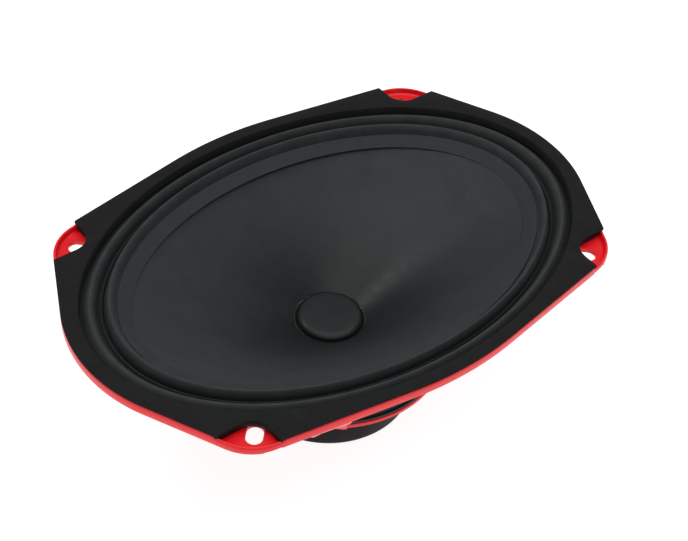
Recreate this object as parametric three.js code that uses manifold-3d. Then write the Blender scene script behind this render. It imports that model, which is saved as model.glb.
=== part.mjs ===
// Oval 6 x 9 inch car speaker with a die-cast basket, cone side up. Millimetres, +Z out of the cone.
// X runs along the long side. The origin is the centre of the flat underside of the motor's boot.
import * as THREE from "three";
import { mergeVertices } from "three/addons/utils/BufferGeometryUtils.js";
import Module from "manifold-3d";

const wasm = await Module();
wasm.setup();

// ---- Driving dimensions ----
const GAP = 0.3; // glue line or clearance between two pieces
const DEPTH = 80; // boot underside to gasket face

// Flange outline: end arcs and side arcs joined by straight tangents to four round ears.
const HALF_LENGTH = 115.9;
const HALF_WIDTH = 79.6;
const END_RADIUS = 63.3;
const SIDE_RADIUS = 149;
const END_TANGENT = THREE.MathUtils.degToRad(26.3);
const SIDE_TANGENT = THREE.MathUtils.degToRad(80.6);
const EAR_RADIUS = 20;

// Tray flange of the basket; the rim's lower edge is stepped in by the undercut.
const RIM_PROUD = 0.2;
const LIP_THICKNESS = 1.2;
const LIP_TOP = DEPTH - 1.6;
const TRAY_FLOOR = DEPTH - 4.1;
const RIM_LOW = DEPTH - 4.7;
const UNDERCUT = 1.2;
const FLANGE_BACK = DEPTH - 6.3;
const FLANGE_OPENING = [104.5, 69];
const LANDING_EDGE = [111.4, 75.6];
const LANDING_Z = TRAY_FLOOR - 1.2;
const EAR_SLOT = { x: 82.45, y: 58.45, length: 9.4, width: 6.4 };
const RIM_NICK = { middle: 69, length: 7, height: 1.0, depth: 1.0 };

// Gasket.
const GASKET_OPENING = [109.3, 73.7];
const NOTCH_CORNER = [78.4, 54.4];
const NOTCH_RADIUS = 8;

// Basket floor, arms and terminal lug.
const FLOOR_RADIUS = 50;
const FLOOR_THICKNESS = 2.9;
const FLOOR_BORE = 20;
const BOWL_TOP = [108, 73];
const ARM_THICKNESS = 2.3;
const ARM_ANGLES = [0, 52, 128, 180, 232, 308];
const ARM_WIDTH = 15;
const LUG = { halfWidth: 17, thickness: 3, top: 44, front: 52 };
const LUG_WINDOW = { halfWidth: 10, low: 30.5, high: 40 };

// Motor.
const BOOT_RADIUS = 37.8;
const BOOT_WALL = 1.5;
const BOOT_VENT_RADIUS = 9;
const YOKE_RADIUS = 33;
const YOKE_THICKNESS = 4.5;
const POLE_RADIUS = 12.35;
const POLE_PROUD = 1.4;
const POLE_VENT_RADIUS = 4.5;
const MAGNET_RADIUS = 35.8;
const MAGNET_BORE = 17;
const MAGNET_THICKNESS = 12.9;
const TOP_PLATE_RADIUS = 34.5;
const TOP_PLATE_BORE = 13.9;
const TOP_PLATE_THICKNESS = 4.5;

// Voice coil, spider, cone, surround and dust cap.
const FORMER_RADIUS = 12.95;
const FORMER_WALL = 0.2;
const FORMER_LOW = 13.5;
const FORMER_HIGH = 37.6;
const WINDING_RADIUS = 13.5;
const WINDING_HEIGHT = 10;
const SPIDER_RING = [42, 48.6];
const SPIDER_SEAT = 31.5;
const SPIDER_RADIUS = 46.8;
const SPIDER_CLOTH = 0.7;
const SPIDER_ROLLS = 4;
const SPIDER_AMPLITUDE = 1.1;
const CONE_NECK_Z = 36.9;
const CONE_RIM_Z = 76.3;
const CONE_RIM = [97.5, 65];
const CONE_WALL = 1.1;
const CONE_BULGE = 1.2;
const SURROUND_CLOTH = 0.7;
const ROLL_START = [108.6, 72.9];
const ROLL_END = [94.2, 62.1];
const SURROUND_INNER = [89, 57];
const CAP_RADIUS = 14.4;
const CAP_WALL = 0.6;
const CAP_SKIRT = 0.9;
const CAP_CROWN = 1.2;

// Terminals and leads.
const BLADE_THICKNESS = 0.8;
const BLADE_Z = 35.2;
const BLADES = [
  { name: "terminal_positive", x: -5.8, width: 6.3, reach: 64 },
  { name: "terminal_negative", x: 6.4, width: 4.8, reach: 62.5 },
];
const BOARD_THICKNESS = 2;
const RIVET_X = 13.4;
const RIVET_RADIUS = 1.5;
const LEAD_RADIUS = 0.8;
const SOLDER_RADIUS = 1.7;
const SOLDER_PLACE = 30;

// Screws that hold the basket on the top plate.
const SCREW_CIRCLE = 28;
const SCREW_RADIUS = 2;
const SCREW_HEAD_RADIUS = 3.8;
const SCREW_COUNT = 4;

const AROUND = 64; // facets round the large oval pieces
const ROUND = 40; // facets round the motor's pieces
const SMALL = 12; // facets round fasteners

// ---- Heights that follow from the dimensions ----
const YOKE_LOW = BOOT_WALL + GAP;
const YOKE_TOP = YOKE_LOW + YOKE_THICKNESS;
const MAGNET_LOW = YOKE_TOP + GAP;
const MAGNET_TOP = MAGNET_LOW + MAGNET_THICKNESS;
const TOP_PLATE_LOW = MAGNET_TOP + GAP;
const TOP_PLATE_TOP = TOP_PLATE_LOW + TOP_PLATE_THICKNESS;
const FLOOR_BACK = TOP_PLATE_TOP + GAP;
const FLOOR_TOP = FLOOR_BACK + FLOOR_THICKNESS;
const COIL_MIDDLE = (TOP_PLATE_LOW + TOP_PLATE_TOP) / 2;
const SURROUND_SEAT = LANDING_Z + GAP;
const GASKET_BACK = TRAY_FLOOR + GAP;
const BOARD_FRONT = LUG.front + GAP + BOARD_THICKNESS;

// Signs of X and Y in the four corners.
const QUADRANTS = [
  [1, 1],
  [-1, 1],
  [-1, -1],
  [1, -1],
];

// ---- Solids from geometries and back ----
function solid(geometry) {
  const source = geometry.index ? geometry.toNonIndexed() : geometry;
  const bare = new THREE.BufferGeometry();
  bare.setAttribute("position", source.getAttribute("position"));
  const merged = mergeVertices(bare, 1e-3);
  const mesh = new wasm.Mesh({
    numProp: 3,
    vertProperties: merged.attributes.position.array,
    triVerts: new Uint32Array(merged.index.array),
  });
  return new wasm.Manifold(mesh);
}

function geometryOf(body) {
  const mesh = body.getMesh();
  const geometry = new THREE.BufferGeometry();
  geometry.setAttribute("position", new THREE.BufferAttribute(mesh.vertProperties, 3));
  geometry.setIndex(new THREE.BufferAttribute(mesh.triVerts, 1));
  return geometry;
}

// ---- Outlines ----
function arcPoints(x, y, radius, from, to, steps) {
  const points = [];
  for (let i = 0; i <= steps; i++) {
    const angle = from + ((to - from) * i) / steps;
    points.push(new THREE.Vector2(x + radius * Math.cos(angle), y + radius * Math.sin(angle)));
  }
  return points;
}

function ellipsePoints([a, b], steps) {
  const points = [];
  for (let i = 0; i < steps; i++) {
    const angle = (2 * Math.PI * i) / steps;
    points.push(new THREE.Vector2(a * Math.cos(angle), b * Math.sin(angle)));
  }
  return points;
}

// The ear's centre lies one ear radius inside both tangent lines.
function earCentre() {
  const endX = HALF_LENGTH - END_RADIUS;
  const sideY = HALF_WIDTH - SIDE_RADIUS;
  const [ax, ay] = [Math.cos(END_TANGENT), Math.sin(END_TANGENT)];
  const [bx, by] = [Math.cos(SIDE_TANGENT), Math.sin(SIDE_TANGENT)];
  const endReach = ax * endX + END_RADIUS - EAR_RADIUS;
  const sideReach = by * sideY + SIDE_RADIUS - EAR_RADIUS;
  const spread = ax * by - ay * bx;
  const x = (endReach * by - sideReach * ay) / spread;
  const y = (sideReach * ax - endReach * bx) / spread;
  return [x, y];
}

// The flange outline, pushed out by offset; one quarter is drawn and mirrored into the others.
function flangePoints(offset) {
  const [earX, earY] = earCentre();
  const quarter = [
    ...arcPoints(HALF_LENGTH - END_RADIUS, 0, END_RADIUS + offset, 0, END_TANGENT, 7),
    ...arcPoints(earX, earY, EAR_RADIUS + offset, END_TANGENT, SIDE_TANGENT, 8),
    ...arcPoints(0, HALF_WIDTH - SIDE_RADIUS, SIDE_RADIUS + offset, SIDE_TANGENT, Math.PI / 2, 5),
  ];
  const flipped = quarter.slice(0, -1).reverse();
  const upper = [...quarter, ...flipped.map((p) => new THREE.Vector2(-p.x, p.y))];
  const lower = upper.slice(1, -1).reverse();
  return [...upper, ...lower.map((p) => new THREE.Vector2(p.x, -p.y))];
}

function roundedRectangle(halfX, halfY, radius) {
  return QUADRANTS.flatMap(([sx, sy], i) => {
    const start = (i * Math.PI) / 2;
    return arcPoints(sx * (halfX - radius), sy * (halfY - radius), radius, start, start + Math.PI / 2, 3);
  });
}

// ---- Basic forms ----
function prism(points, low, high, hole = null) {
  const shape = new THREE.Shape(points);
  if (hole) shape.holes.push(new THREE.Path(hole));
  const geometry = new THREE.ExtrudeGeometry(shape, { depth: high - low, bevelEnabled: false });
  return geometry.translate(0, 0, low);
}

function block(x, y, z) {
  const size = [x[1] - x[0], y[1] - y[0], z[1] - z[0]];
  const geometry = new THREE.BoxGeometry(...size);
  return geometry.translate((x[0] + x[1]) / 2, (y[0] + y[1]) / 2, (z[0] + z[1]) / 2);
}

// A body of revolution about Z from [radius, height] pairs.
function turned(profile, facets) {
  const points = profile.map(([radius, height]) => new THREE.Vector2(radius, height));
  return new THREE.LatheGeometry(points, facets).rotateX(Math.PI / 2);
}

// A tube wall between two radii, closed on itself.
function ringProfile(inner, outer, low, high) {
  return [
    [inner, low],
    [outer, low],
    [outer, high],
    [inner, high],
    [inner, low],
  ];
}

function cylinder(radius, low, high, facets) {
  const profile = [
    [0, low],
    [radius, low],
    [radius, high],
    [0, high],
  ];
  return turned(profile, facets);
}

// A closed section carried round the axis; each station is [half length, half width, height].
function ovalRing(stations, facets) {
  const count = stations.length;
  const position = [];
  for (let i = 0; i < facets; i++) {
    const angle = (2 * Math.PI * i) / facets;
    for (const [a, b, z] of stations) {
      position.push(a * Math.cos(angle), b * Math.sin(angle), z);
    }
  }
  const index = [];
  for (let i = 0; i < facets; i++) {
    const here = i * count;
    const next = ((i + 1) % facets) * count;
    for (let j = 0; j < count; j++) {
      const k = (j + 1) % count;
      index.push(here + j, next + k, here + k, here + j, next + j, next + k);
    }
  }
  const geometry = new THREE.BufferGeometry();
  geometry.setAttribute("position", new THREE.BufferAttribute(new Float32Array(position), 3));
  return geometry.setIndex(index);
}

// A sheet of even height: outer-to-inner stations on its underside and the same ones back on top.
function sheetRing(stations, thickness, facets) {
  const top = stations.map(([a, b, z]) => [a, b, z + thickness]);
  return ovalRing([...stations.reverse(), ...top], facets);
}

// ---- Material library ----
const finishes = {
  castRed: { color: 0xc8242c, roughness: 0.42, metalness: 0.2 },
  gasketRubber: { color: 0x2b2b2c, roughness: 0.8, metalness: 0 },
  surroundCloth: { color: 0x2e3233, roughness: 0.85, metalness: 0 },
  conePaper: { color: 0x33383a, roughness: 0.8, metalness: 0 },
  capPlastic: { color: 0x26292a, roughness: 0.35, metalness: 0 },
  formerFoil: { color: 0xb6bbc0, roughness: 0.35, metalness: 0.9 },
  copper: { color: 0xb86a3c, roughness: 0.35, metalness: 0.9 },
  spiderCloth: { color: 0x9a7b3f, roughness: 0.9, metalness: 0 },
  blackPlastic: { color: 0x1d1e20, roughness: 0.6, metalness: 0 },
  zincSteel: { color: 0xaeb2b6, roughness: 0.4, metalness: 0.9 },
  ferrite: { color: 0x3a3b3d, roughness: 0.75, metalness: 0.1 },
  bootRubber: { color: 0x2f2f31, roughness: 0.6, metalness: 0 },
  boardResin: { color: 0x6b4a2c, roughness: 0.6, metalness: 0 },
  brass: { color: 0xc9a85c, roughness: 0.35, metalness: 0.9 },
  tinsel: { color: 0xc08a58, roughness: 0.5, metalness: 0.6 },
  solder: { color: 0xb9bcc0, roughness: 0.35, metalness: 0.9 },
  blackSteel: { color: 0x2a2b2d, roughness: 0.4, metalness: 0.8 },
};

const speaker = new THREE.Group();
speaker.name = "oval_car_speaker";

function addPiece(name, body, finish) {
  const geometry = body.isBufferGeometry ? body : geometryOf(body);
  geometry.computeVertexNormals();
  const mesh = new THREE.Mesh(geometry, new THREE.MeshStandardMaterial(finishes[finish]));
  mesh.name = name;
  speaker.add(mesh);
  return mesh;
}

// ---- Basket ----
function trayFlange() {
  const rim = solid(prism(flangePoints(RIM_PROUD), RIM_LOW, LIP_TOP));
  const back = solid(prism(flangePoints(RIM_PROUD - UNDERCUT), FLANGE_BACK, TRAY_FLOOR));
  const tray = solid(prism(flangePoints(RIM_PROUD - LIP_THICKNESS), TRAY_FLOOR, DEPTH));
  const landing = solid(prism(ellipsePoints(LANDING_EDGE, AROUND), LANDING_Z, DEPTH));
  const opening = solid(prism(ellipsePoints(FLANGE_OPENING, AROUND), FLANGE_BACK - 1, DEPTH));
  return rim.add(back).subtract(tray).subtract(landing).subtract(opening);
}

// The mounting slots point at 45 degrees, so that the screw centres can shift a little.
function earSlots() {
  const radius = EAR_SLOT.width / 2;
  const reach = EAR_SLOT.length / 2 - radius;
  const outline = [
    ...arcPoints(reach, 0, radius, -Math.PI / 2, Math.PI / 2, 8),
    ...arcPoints(-reach, 0, radius, Math.PI / 2, (3 * Math.PI) / 2, 8),
  ];
  const cutters = QUADRANTS.map(([sx, sy]) => {
    const slot = prism(outline, FLANGE_BACK - 1, DEPTH).rotateZ((sx * sy * Math.PI) / 4);
    return solid(slot.translate(sx * EAR_SLOT.x, sy * EAR_SLOT.y, 0));
  });
  return cutters.reduce((all, one) => all.add(one));
}

// Short nicks in the lower edge of the rim, one beside each ear on the long sides.
function rimNicks() {
  const { middle, length, height, depth } = RIM_NICK;
  const slope = Math.PI / 2 - SIDE_TANGENT;
  const face = Math.sin(SIDE_TANGENT) * (HALF_WIDTH - SIDE_RADIUS) + SIDE_RADIUS + RIM_PROUD;
  const cutters = QUADRANTS.map(([sx, sy]) => {
    const along = [sx * middle - length / 2, sx * middle + length / 2];
    const across = [sy * face - (sy > 0 ? depth : 2), sy * face + (sy > 0 ? 2 : depth)];
    const nick = block(along, across, [RIM_LOW - 1, RIM_LOW + height]);
    return solid(nick.rotateZ(-sx * sy * slope));
  });
  return cutters.reduce((all, one) => all.add(one));
}

// The bowl bulges: it leaves the floor flat and meets the flange steeply.
function bowlStation(rise, offset) {
  const bulge = Math.sin((rise * Math.PI) / 2);
  const height = FLOOR_BACK + (FLANGE_BACK + 1 - FLOOR_BACK) * rise;
  const reach = BOWL_TOP.map((top) => FLOOR_RADIUS + (top - FLOOR_RADIUS) * bulge + offset);
  return [...reach, height];
}

function bowlShell(inside, outside) {
  const rises = [0, 0.08, 0.2, 0.35, 0.55, 0.75, 1];
  const outer = rises.map((rise) => bowlStation(rise, outside));
  const inner = rises.map((rise) => bowlStation(rise, inside)).reverse();
  return solid(ovalRing([...outer, ...inner], AROUND));
}

function armBar(degrees) {
  const bar = block([FLOOR_RADIUS - 10, 130], [-ARM_WIDTH / 2, ARM_WIDTH / 2], [0, FLANGE_BACK + 0.5]);
  return solid(bar.rotateZ(THREE.MathUtils.degToRad(degrees)));
}

function basketArms() {
  const skin = bowlShell(-ARM_THICKNESS, 0);
  const clip = solid(cylinder(200, FLOOR_BACK, FLANGE_BACK + 0.5, AROUND));
  const inFlange = solid(prism(flangePoints(RIM_PROUD - UNDERCUT), 0, DEPTH));
  const bars = ARM_ANGLES.map((degrees) => armBar(degrees));
  const arms = skin.intersect(bars.reduce((all, one) => all.add(one)));
  return arms.intersect(clip).intersect(inFlange);
}

function screwPlaces() {
  const places = [];
  for (let i = 0; i < SCREW_COUNT; i++) {
    const angle = Math.PI / SCREW_COUNT + (2 * Math.PI * i) / SCREW_COUNT;
    places.push([SCREW_CIRCLE * Math.cos(angle), SCREW_CIRCLE * Math.sin(angle)]);
  }
  return places;
}

// A countersunk screw, or its hole when grown by the clearance.
function screwForm(clearance, bottom) {
  const headLow = FLOOR_TOP - (SCREW_HEAD_RADIUS - SCREW_RADIUS);
  const top = clearance > 0 ? FLOOR_TOP + 1 : FLOOR_TOP;
  const profile = [
    [0, bottom],
    [SCREW_RADIUS + clearance, bottom],
    [SCREW_RADIUS + clearance, headLow],
    [SCREW_HEAD_RADIUS + clearance, FLOOR_TOP],
    [SCREW_HEAD_RADIUS + clearance, top],
    [0, top],
  ];
  return turned(clearance > 0 ? profile : profile.filter((_, i) => i !== 4), SMALL);
}

function screwHoles(bottom) {
  const cutters = screwPlaces().map(([x, y]) => solid(screwForm(GAP, bottom).translate(x, y, 0)));
  return cutters.reduce((all, one) => all.add(one));
}

// An upright lug on the floor's edge carries the terminal board over a window.
function terminalLug() {
  const { halfWidth, thickness, top, front } = LUG;
  const plate = solid(block([-halfWidth, halfWidth], [front - thickness, front], [FLOOR_BACK, top]));
  const window = LUG_WINDOW;
  const y = [front - thickness - 1, front + 1];
  const opening = solid(block([-window.halfWidth, window.halfWidth], y, [window.low, window.high]));
  return plate.subtract(opening).subtract(rivetHoles());
}

function rivetHoles() {
  const z = (LUG_WINDOW.low + LUG_WINDOW.high) / 2;
  const cutters = [-RIVET_X, RIVET_X].map((x) => {
    const hole = new THREE.CylinderGeometry(RIVET_RADIUS + GAP, RIVET_RADIUS + GAP, 12, SMALL);
    return solid(hole.translate(x, LUG.front, z));
  });
  return cutters.reduce((all, one) => all.add(one));
}

function basketFrame() {
  const floor = solid(turned(ringProfile(FLOOR_BORE, FLOOR_RADIUS, FLOOR_BACK, FLOOR_TOP), AROUND));
  const casting = trayFlange().add(basketArms()).add(floor).add(terminalLug());
  return casting.subtract(earSlots()).subtract(rimNicks()).subtract(screwHoles(0));
}

addPiece("basket_frame", basketFrame(), "castRed");

// ---- Gasket: it fills the tray, laps over the rim and is cut back round each ear slot ----
function frontGasket() {
  const opening = ellipsePoints(GASKET_OPENING, AROUND);
  const lap = solid(prism(flangePoints(0), LIP_TOP + GAP, DEPTH, opening));
  const inset = flangePoints(RIM_PROUD - LIP_THICKNESS - GAP);
  const filling = solid(prism(inset, GASKET_BACK, DEPTH - 1, opening));
  const half = 20;
  const notches = QUADRANTS.map(([sx, sy]) => {
    const notch = prism(roundedRectangle(half, half, NOTCH_RADIUS), GASKET_BACK - 1, DEPTH + 1);
    return solid(notch.translate(sx * (NOTCH_CORNER[0] + half), sy * (NOTCH_CORNER[1] + half), 0));
  });
  return lap.add(filling).subtract(notches.reduce((all, one) => all.add(one)));
}

addPiece("front_gasket", frontGasket(), "gasketRubber");

// ---- Surround: wide roll, thin ridge, wide roll, then a glue lip on the cone ----
function between(outer, inner, share) {
  return outer.map((value, i) => value + (inner[i] - value) * share);
}

function surround() {
  // Share of the way inwards across the rolls, height over the seat.
  const section = [
    [0, 0],
    [0.1, 1.9],
    [0.28, 3.1],
    [0.42, 1.9],
    [0.49, 0.7],
    [0.57, 1.5],
    [0.64, 0.7],
    [0.72, 2.2],
    [0.82, 3],
    [0.93, 1.8],
  ];
  const outerEdge = [LANDING_EDGE[0] - GAP, LANDING_EDGE[1] - GAP, SURROUND_SEAT];
  const roll = section.map(([share, height]) => [...between(ROLL_START, ROLL_END, share), SURROUND_SEAT + height]);
  const lip = [ROLL_END, SURROUND_INNER].map((ring) => [...ring, coneHeight(coneShare(ring[0])) + GAP]);
  return sheetRing([outerEdge, ...roll, ...lip], SURROUND_CLOTH, AROUND);
}

// ---- Cone: round at the neck, oval at the rim ----
function coneHeight(share) {
  const straight = CONE_NECK_Z + (CONE_RIM_Z - CONE_NECK_Z) * share;
  return straight + CONE_BULGE * Math.sin(Math.PI * share);
}

function coneShare(halfLength) {
  const neck = FORMER_RADIUS + GAP;
  return (halfLength - neck) / (CONE_RIM[0] - neck);
}

function cone() {
  const neck = FORMER_RADIUS + GAP;
  const shares = [1, 0.8, 0.55, 0.3, 0.1, 0];
  const stations = shares.map((share) => {
    const reach = CONE_RIM.map((rim) => neck + (rim - neck) * share);
    return [...reach, coneHeight(share) - CONE_WALL];
  });
  return sheetRing(stations, CONE_WALL, AROUND);
}

addPiece("surround", solid(surround()), "surroundCloth");
addPiece("cone", solid(cone()), "conePaper");

// ---- Dust cap: a shallow drum with a crowned top, open underneath ----
function dustCap() {
  const low = coneHeight(coneShare(CAP_RADIUS)) + 2 * GAP;
  const shoulder = low + CAP_SKIRT;
  const crown = shoulder + CAP_CROWN;
  const inside = CAP_RADIUS - CAP_WALL;
  const profile = [
    [inside, low],
    [CAP_RADIUS, low],
    [CAP_RADIUS, shoulder - 0.4],
    [CAP_RADIUS - 0.5, shoulder],
    [0.8 * CAP_RADIUS, crown - 0.6],
    [0.45 * CAP_RADIUS, crown - 0.2],
    [0, crown],
    [0, crown - CAP_WALL],
    [0.7 * CAP_RADIUS, crown - CAP_WALL - 0.6],
    [inside, shoulder - CAP_WALL],
    [inside, low],
  ];
  return turned(profile, ROUND);
}

addPiece("dust_cap", solid(dustCap()), "capPlastic");

// ---- Voice coil and spider ----
const formerProfile = ringProfile(FORMER_RADIUS - FORMER_WALL, FORMER_RADIUS, FORMER_LOW, FORMER_HIGH);
addPiece("voice_coil_former", solid(turned(formerProfile, ROUND)), "formerFoil");

const coilLow = COIL_MIDDLE - WINDING_HEIGHT / 2;
const windingProfile = ringProfile(FORMER_RADIUS + 0.05, WINDING_RADIUS, coilLow, coilLow + WINDING_HEIGHT);
addPiece("voice_coil_winding", solid(turned(windingProfile, ROUND)), "copper");

addPiece("spider_ring", solid(turned(ringProfile(...SPIDER_RING, FLOOR_TOP + GAP, SPIDER_SEAT), ROUND)), "blackPlastic");

function spider() {
  const middle = SPIDER_SEAT + GAP + SPIDER_AMPLITUDE / 2;
  const inner = FORMER_RADIUS + GAP;
  const rollOuter = SPIDER_RING[0] - 1;
  const rollInner = inner + 2.5;
  const stations = [
    [SPIDER_RADIUS, SPIDER_RADIUS, SPIDER_SEAT + GAP],
    [rollOuter, rollOuter, SPIDER_SEAT + GAP],
  ];
  const peaks = 2 * SPIDER_ROLLS;
  for (let i = 0; i < peaks; i++) {
    const radius = rollOuter + ((rollInner - rollOuter) * (i + 0.5)) / peaks;
    const height = middle + (i % 2 ? -SPIDER_AMPLITUDE : SPIDER_AMPLITUDE) / 2;
    stations.push([radius, radius, height]);
  }
  stations.push([rollInner, rollInner, SPIDER_SEAT + GAP], [inner, inner, SPIDER_SEAT + GAP]);
  return sheetRing(stations, SPIDER_CLOTH, ROUND);
}

addPiece("spider", solid(spider()), "spiderCloth");

// ---- Motor ----
function topPlate() {
  const ring = turned(ringProfile(TOP_PLATE_BORE, TOP_PLATE_RADIUS, TOP_PLATE_LOW, TOP_PLATE_TOP), ROUND);
  return solid(ring).subtract(screwHoles(TOP_PLATE_LOW - 1));
}

addPiece("top_plate", topPlate(), "zincSteel");

const magnetProfile = ringProfile(MAGNET_BORE, MAGNET_RADIUS, MAGNET_LOW, MAGNET_TOP);
addPiece("ferrite_magnet", solid(turned(magnetProfile, ROUND)), "ferrite");

function yoke() {
  const poleTop = TOP_PLATE_TOP + POLE_PROUD;
  const profile = [
    [POLE_VENT_RADIUS + 3, YOKE_LOW],
    [YOKE_RADIUS - 0.8, YOKE_LOW],
    [YOKE_RADIUS, YOKE_LOW + 0.8],
    [YOKE_RADIUS, YOKE_TOP],
    [POLE_RADIUS, YOKE_TOP],
    [POLE_RADIUS, poleTop - 0.8],
    [POLE_RADIUS - 0.8, poleTop],
    [POLE_VENT_RADIUS, poleTop],
    [POLE_VENT_RADIUS, YOKE_TOP],
    [POLE_VENT_RADIUS + 3, YOKE_LOW],
  ];
  return turned(profile, ROUND);
}

addPiece("pole_yoke", solid(yoke()), "zincSteel");

function ventScreen() {
  const disc = solid(cylinder(BOOT_VENT_RADIUS - GAP, 0.6, 1.3, 24));
  const holes = [solid(cylinder(1.3, 0, 2, 8))];
  for (let i = 0; i < 6; i++) {
    const angle = (Math.PI * i) / 3;
    holes.push(solid(cylinder(1.3, 0, 2, 8).translate(4.4 * Math.cos(angle), 4.4 * Math.sin(angle), 0)));
  }
  return disc.subtract(holes.reduce((all, one) => all.add(one)));
}

addPiece("pole_vent_screen", ventScreen(), "blackSteel");

function boot() {
  const top = TOP_PLATE_TOP;
  const inner = MAGNET_RADIUS + 0.6;
  const profile = [
    [BOOT_VENT_RADIUS, 0],
    [BOOT_RADIUS - 1.2, 0],
    [BOOT_RADIUS - 0.3, 0.5],
    [BOOT_RADIUS, 1.4],
    [BOOT_RADIUS, top],
    [inner, top],
    [inner, BOOT_WALL],
    [BOOT_VENT_RADIUS, BOOT_WALL],
    [BOOT_VENT_RADIUS, 0],
  ];
  return turned(profile, ROUND);
}

addPiece("magnet_boot", solid(boot()), "bootRubber");

screwPlaces().forEach(([x, y], i) => {
  const screw = solid(screwForm(0, TOP_PLATE_LOW + 0.5));
  const mesh = addPiece("basket_screw_" + (i + 1), screw, "blackSteel");
  mesh.position.set(x, y, 0);
});

// ---- Terminals ----
function terminalBoard() {
  const half = LUG.halfWidth - 1;
  const middle = (LUG_WINDOW.low + LUG_WINDOW.high) / 2;
  const y = [LUG.front + GAP, BOARD_FRONT];
  let board = solid(block([-half, half], y, [middle - 7.5, middle + 7.5])).subtract(rivetHoles());
  for (const blade of BLADES) {
    const reach = blade.width / 2 + GAP;
    const z = [BLADE_Z - BLADE_THICKNESS / 2 - GAP, BLADE_Z + BLADE_THICKNESS / 2 + GAP];
    const slot = block([blade.x - reach, blade.x + reach], [y[0] - 1, y[1] + 1], z);
    board = board.subtract(solid(slot));
  }
  return board;
}

addPiece("terminal_board", terminalBoard(), "boardResin");

// A blade with a clipped tip; it passes through the board and ends in a solder tail behind it.
function blade({ x, width, reach }) {
  const half = width / 2;
  const tail = LUG.front - LUG.thickness - 3.5;
  const outline = [
    [-1.5, tail],
    [1.5, tail],
    [1.5, LUG.front - LUG.thickness],
    [half, LUG.front - LUG.thickness + 1],
    [half, reach - 1],
    [half - 1, reach],
    [1 - half, reach],
    [-half, reach - 1],
    [-half, LUG.front - LUG.thickness + 1],
    [-1.5, LUG.front - LUG.thickness],
  ];
  const points = outline.map(([across, along]) => new THREE.Vector2(x + across, along));
  return prism(points, BLADE_Z - BLADE_THICKNESS / 2, BLADE_Z + BLADE_THICKNESS / 2);
}

BLADES.forEach((one) => addPiece(one.name, solid(blade(one)), "brass"));

function rivet() {
  const front = BOARD_FRONT + GAP;
  const back = LUG.front - LUG.thickness - GAP;
  const profile = [
    [0, back - 1],
    [RIVET_RADIUS + 0.9, back - 0.8],
    [RIVET_RADIUS + 1.1, back],
    [RIVET_RADIUS, back],
    [RIVET_RADIUS, front],
    [RIVET_RADIUS + 1.3, front],
    [RIVET_RADIUS + 1, front + 0.9],
    [0, front + 1.2],
  ];
  const points = profile.map(([radius, along]) => new THREE.Vector2(radius, along));
  return new THREE.LatheGeometry(points, SMALL);
}

[-1, 1].forEach((side) => {
  const name = side < 0 ? "board_rivet_left" : "board_rivet_right";
  const mesh = addPiece(name, solid(rivet()), "zincSteel");
  mesh.position.set(side * RIVET_X, 0, (LUG_WINDOW.low + LUG_WINDOW.high) / 2);
});

// ---- Leads from the blades to the back of the cone ----
function coneBackAt(x, y) {
  const neck = FORMER_RADIUS + GAP;
  let low = 0;
  let high = 1;
  for (let i = 0; i < 30; i++) {
    const share = (low + high) / 2;
    const [a, b] = CONE_RIM.map((rim) => neck + (rim - neck) * share);
    if ((x / a) ** 2 + (y / b) ** 2 > 1) low = share;
    else high = share;
  }
  return coneHeight(low) - CONE_WALL;
}

for (const { name, x } of BLADES) {
  const pole = name.replace("terminal_", "");
  const side = Math.sign(x);
  const jointZ = coneBackAt(x, SOLDER_PLACE) - SOLDER_RADIUS - 1.2;
  const joint = addPiece("lead_solder_" + pole, solid(new THREE.SphereGeometry(SOLDER_RADIUS, 12, 8)), "solder");
  joint.position.set(x, SOLDER_PLACE, jointZ);

  const start = LUG.front - LUG.thickness - 3.5 - GAP;
  const end = SOLDER_RADIUS + GAP;
  const route = new THREE.CatmullRomCurve3([
    new THREE.Vector3(x, start, BLADE_Z),
    new THREE.Vector3(x, start - 3, BLADE_Z + 0.4),
    new THREE.Vector3(x + side * 1.5, start - 7, BLADE_Z + 3.4),
    new THREE.Vector3(x + side * 1.5, start - 10.5, BLADE_Z + 4.2),
    new THREE.Vector3(x, SOLDER_PLACE + end * 0.8, jointZ - end * 0.6),
  ]);
  const section = new THREE.Shape(arcPoints(0, 0, LEAD_RADIUS, 0, (2 * Math.PI * 7) / 8, 7));
  const lead = new THREE.ExtrudeGeometry(section, { steps: 16, extrudePath: route, bevelEnabled: false });
  addPiece("lead_wire_" + pole, solid(lead), "tinsel");
}

export default speaker;
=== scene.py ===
"""Looks of an oval car speaker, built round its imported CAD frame. Lengths in mm until they reach Blender."""

import math

import bmesh
import bpy
import numpy as np
from mathutils import Matrix, Vector


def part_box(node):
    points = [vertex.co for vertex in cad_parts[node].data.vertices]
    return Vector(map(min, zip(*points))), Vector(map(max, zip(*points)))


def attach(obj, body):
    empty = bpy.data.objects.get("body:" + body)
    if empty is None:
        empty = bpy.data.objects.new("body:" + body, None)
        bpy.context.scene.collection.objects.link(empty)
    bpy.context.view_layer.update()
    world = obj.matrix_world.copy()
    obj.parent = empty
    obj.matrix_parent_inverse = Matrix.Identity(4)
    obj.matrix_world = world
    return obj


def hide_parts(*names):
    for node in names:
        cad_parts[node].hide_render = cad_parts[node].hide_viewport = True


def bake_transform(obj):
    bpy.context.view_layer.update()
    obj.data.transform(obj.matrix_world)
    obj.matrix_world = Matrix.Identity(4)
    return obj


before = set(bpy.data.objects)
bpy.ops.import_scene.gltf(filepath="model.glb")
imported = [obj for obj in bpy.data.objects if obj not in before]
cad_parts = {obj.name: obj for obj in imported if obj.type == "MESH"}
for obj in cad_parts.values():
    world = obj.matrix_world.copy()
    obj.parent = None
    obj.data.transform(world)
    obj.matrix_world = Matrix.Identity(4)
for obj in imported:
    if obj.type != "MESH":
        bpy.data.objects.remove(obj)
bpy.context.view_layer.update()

MM = 0.001
TURN = 2 * math.pi
QUARTER = math.pi / 2
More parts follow.
